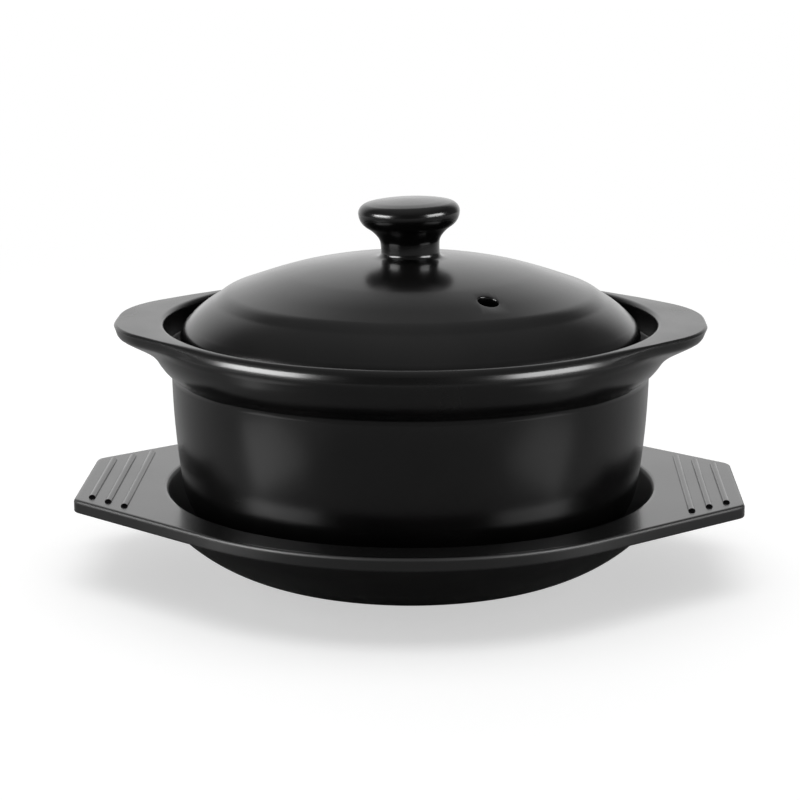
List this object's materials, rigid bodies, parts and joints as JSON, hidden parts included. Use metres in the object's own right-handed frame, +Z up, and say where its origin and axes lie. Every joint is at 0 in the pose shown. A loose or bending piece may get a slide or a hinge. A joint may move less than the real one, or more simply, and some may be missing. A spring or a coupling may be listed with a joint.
{
  "type": "stew pot",
  "caption": "Round black stoneware stew pot with a flared rim and side lugs, a domed lid with a knob and steam vent, and a winged serving tray with a well that the pot stands in.",
  "frame": {"origin": "centre of the tray's foot ring, on the table", "axes": "+X towards one lug and tab, +Z up along the axis of the pot, -Y towards the side with the steam vent"},
  "size_m": [0.25, 0.214, 0.1427],
  "materials": {
    "pot_glaze": "satin black glaze on stoneware",
    "lid_glaze": "satin black glaze on stoneware",
    "tray_plastic": "satin black moulded plastic"
  },
  "bodies": {
    "tray": {"tray": "tray_plastic"},
    "pot": {"pot_body": "pot_glaze", "left_lug": "pot_glaze", "right_lug": "pot_glaze"},
    "lid": {"lid_dome": "lid_glaze", "lid_knob": "lid_glaze"}
  },
  "joints": [
    {"name": "pot_lift", "type": "slide", "parent": "tray", "child": "pot", "axis": [0, 0, 1], "range_m": [0, 0.05]},
    {"name": "lid_lift", "type": "slide", "parent": "pot", "child": "lid", "axis": [0, 0, 1], "range_m": [0, 0.06]}
  ]
}
